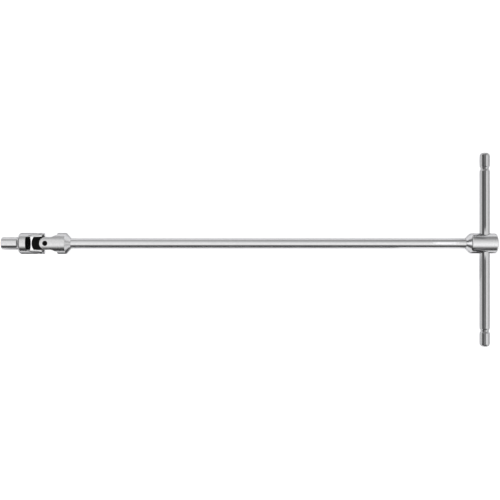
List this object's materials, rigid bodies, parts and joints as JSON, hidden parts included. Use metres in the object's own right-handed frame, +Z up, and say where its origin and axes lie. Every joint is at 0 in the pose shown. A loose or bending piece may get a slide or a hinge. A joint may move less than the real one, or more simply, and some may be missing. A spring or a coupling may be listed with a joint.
{
  "type": "t-handle tap wrench",
  "caption": "Long T-handle tap wrench with a sliding tommy bar, a round shaft and a pinned universal joint that carries a slim square drive socket.",
  "frame": {"origin": "centre of the square socket's mouth, on the tool's axis", "axes": "+X from the socket's mouth along the shaft to the head; +Y along the tommy bar; +Z up, along the pin of the yoke on the shaft"},
  "size_m": [0.4939, 0.1938, 0.021],
  "materials": {
    "satin_chrome": "satin",
    "bright_chrome": "polished",
    "black_steel": "black oxide",
    "spring_steel": "ground"
  },
  "bodies": {
    "handle": {"shaft": "satin_chrome", "shaft_yoke": "satin_chrome", "shaft_side_pin": "black_steel", "t_head": "satin_chrome", "detent_spring": "spring_steel"},
    "joint_block": {"centre_block": "black_steel"},
    "drive_end": {"drive_yoke": "satin_chrome", "drive_side_pin": "black_steel"},
    "bar": {"tommy_bar": "bright_chrome"},
    "detent": {"detent_ball": "spring_steel"}
  },
  "joints": [
    {"name": "shaft_yoke_hinge", "type": "hinge", "parent": "handle", "child": "joint_block", "pos_m": [0.0451, 0, 0], "axis": [0, 0, 1], "range_deg": [-60, 60]},
    {"name": "drive_yoke_hinge", "type": "hinge", "parent": "joint_block", "child": "drive_end", "pos_m": [0.0365, 0, 0], "axis": [0, 1, 0], "range_deg": [-60, 60]},
    {"name": "bar_slide", "type": "slide", "parent": "handle", "child": "bar", "axis": [0, 1, 0], "range_m": [-0.0747, 0.0873]},
    {"name": "detent_slide", "type": "slide", "parent": "handle", "child": "detent", "axis": [1, 0, 0], "range_m": [-0.0008, 0], "stiffness_N_per_m": 2000, "springref_m": 0.001, "deforming": ["detent_spring"]}
  ]
}
